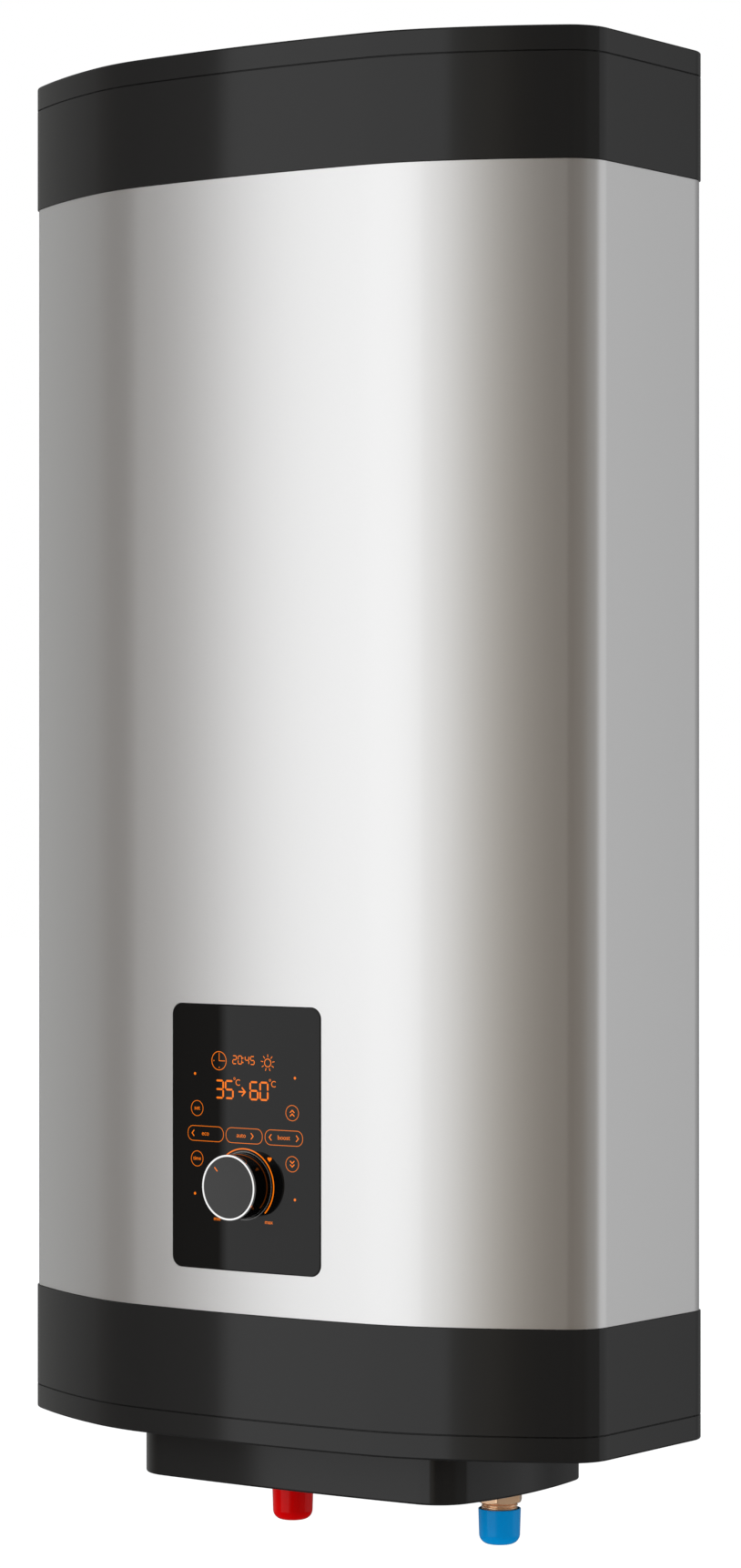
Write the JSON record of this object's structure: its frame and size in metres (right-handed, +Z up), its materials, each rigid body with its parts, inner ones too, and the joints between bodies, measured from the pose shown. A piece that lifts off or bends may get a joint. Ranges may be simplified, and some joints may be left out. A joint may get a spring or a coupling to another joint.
{
  "type": "wall-hung electric water heater",
  "caption": "Flat vertical storage water heater: silver steel jacket between black end caps, glass control panel with a rotary knob, service cover and capped hot and cold pipe fittings below.",
  "frame": {"origin": "centre of the upper wall bracket's rear face, on the wall plane and the mid-plane", "axes": "+X right seen from the front, +Y towards the wall, +Z up; the front faces -Y"},
  "size_m": [0.436, 0.2236, 0.9358],
  "materials": {
    "silver_jacket": "satin",
    "black_plastic": "satin",
    "black_glass": "gloss",
    "knob_black": "gloss",
    "knob_grey": "satin",
    "chrome_trim": "polished",
    "galvanised_steel": "satin",
    "stainless_steel": "satin",
    "polyurethane_foam": "matte",
    "copper": "gloss",
    "magnesium": "matte",
    "rubber": "matte",
    "circuit_board": "satin",
    "dark_component": "satin",
    "white_plastic": "satin",
    "red_plastic": "gloss",
    "blue_plastic": "gloss"
  },
  "bodies": {
    "heater": {"outer_jacket": "silver_jacket", "rear_panel": "galvanised_steel", "upper_band": "black_plastic", "lower_band": "black_plastic", "top_lid": "black_plastic", "bottom_lid": "black_plastic", "service_cover": "black_plastic", "upper_wall_bracket": "galvanised_steel", "lower_wall_bracket": "galvanised_steel", "control_glass": "black_glass", "hot_fitting": "copper", "cold_fitting": "copper", "cable_gland": "rubber", "insulation_foam": "polyurethane_foam", "panel_housing": "dark_component", "control_board": "circuit_board", "display_module": "dark_component", "encoder": "white_plastic", "tank_left": "stainless_steel", "tank_right": "stainless_steel", "upper_link_pipe": "stainless_steel", "lower_link_pipe": "stainless_steel", "hot_pipe": "stainless_steel", "cold_pipe": "stainless_steel", "cold_diffuser": "white_plastic", "hot_grommet": "rubber", "cold_grommet": "rubber", "power_board": "circuit_board", "relay_left": "dark_component", "relay_right": "dark_component", "terminal_block": "white_plastic", "safety_cutout": "dark_component", "heater_flange_left": "stainless_steel", "flange_gasket_left": "rubber", "heating_element_left": "copper", "anode_left": "magnesium", "thermowell_left": "stainless_steel", "sensor_probe_left": "copper", "flange_bolt_left_1": "galvanised_steel", "flange_bolt_left_2": "galvanised_steel", "flange_bolt_left_3": "galvanised_steel", "flange_bolt_left_4": "galvanised_steel", "heater_flange_right": "stainless_steel", "flange_gasket_right": "rubber", "heating_element_right": "copper", "anode_right": "magnesium", "thermowell_right": "stainless_steel", "sensor_probe_right": "copper", "flange_bolt_right_1": "galvanised_steel", "flange_bolt_right_2": "galvanised_steel", "flange_bolt_right_3": "galvanised_steel", "flange_bolt_right_4": "galvanised_steel"},
    "knob": {"knob_shaft": "stainless_steel", "knob_body": "knob_black", "knob_ring": "chrome_trim", "knob_face": "knob_grey"},
    "hot_cap": {"hot_cap": "red_plastic"},
    "cold_cap": {"cold_cap": "blue_plastic"},
    "reset_button": {"reset_button": "red_plastic"}
  },
  "joints": [
    {"name": "knob_turn", "type": "hinge", "parent": "heater", "child": "knob", "pos_m": [0, -0.208, -0.531], "axis": [0, 1, 0], "range_deg": [-93, 177]},
    {"name": "hot_cap_pull", "type": "slide", "parent": "heater", "child": "hot_cap", "axis": [0, 0, -1], "range_m": [0, 0.03]},
    {"name": "cold_cap_pull", "type": "slide", "parent": "heater", "child": "cold_cap", "axis": [0, 0, -1], "range_m": [0, 0.03]},
    {"name": "reset_push", "type": "slide", "parent": "heater", "child": "reset_button", "axis": [0, 0, 1], "range_m": [0, 0.0015], "stiffness_N_per_m": 400, "springref_m": -0.001}
  ]
}
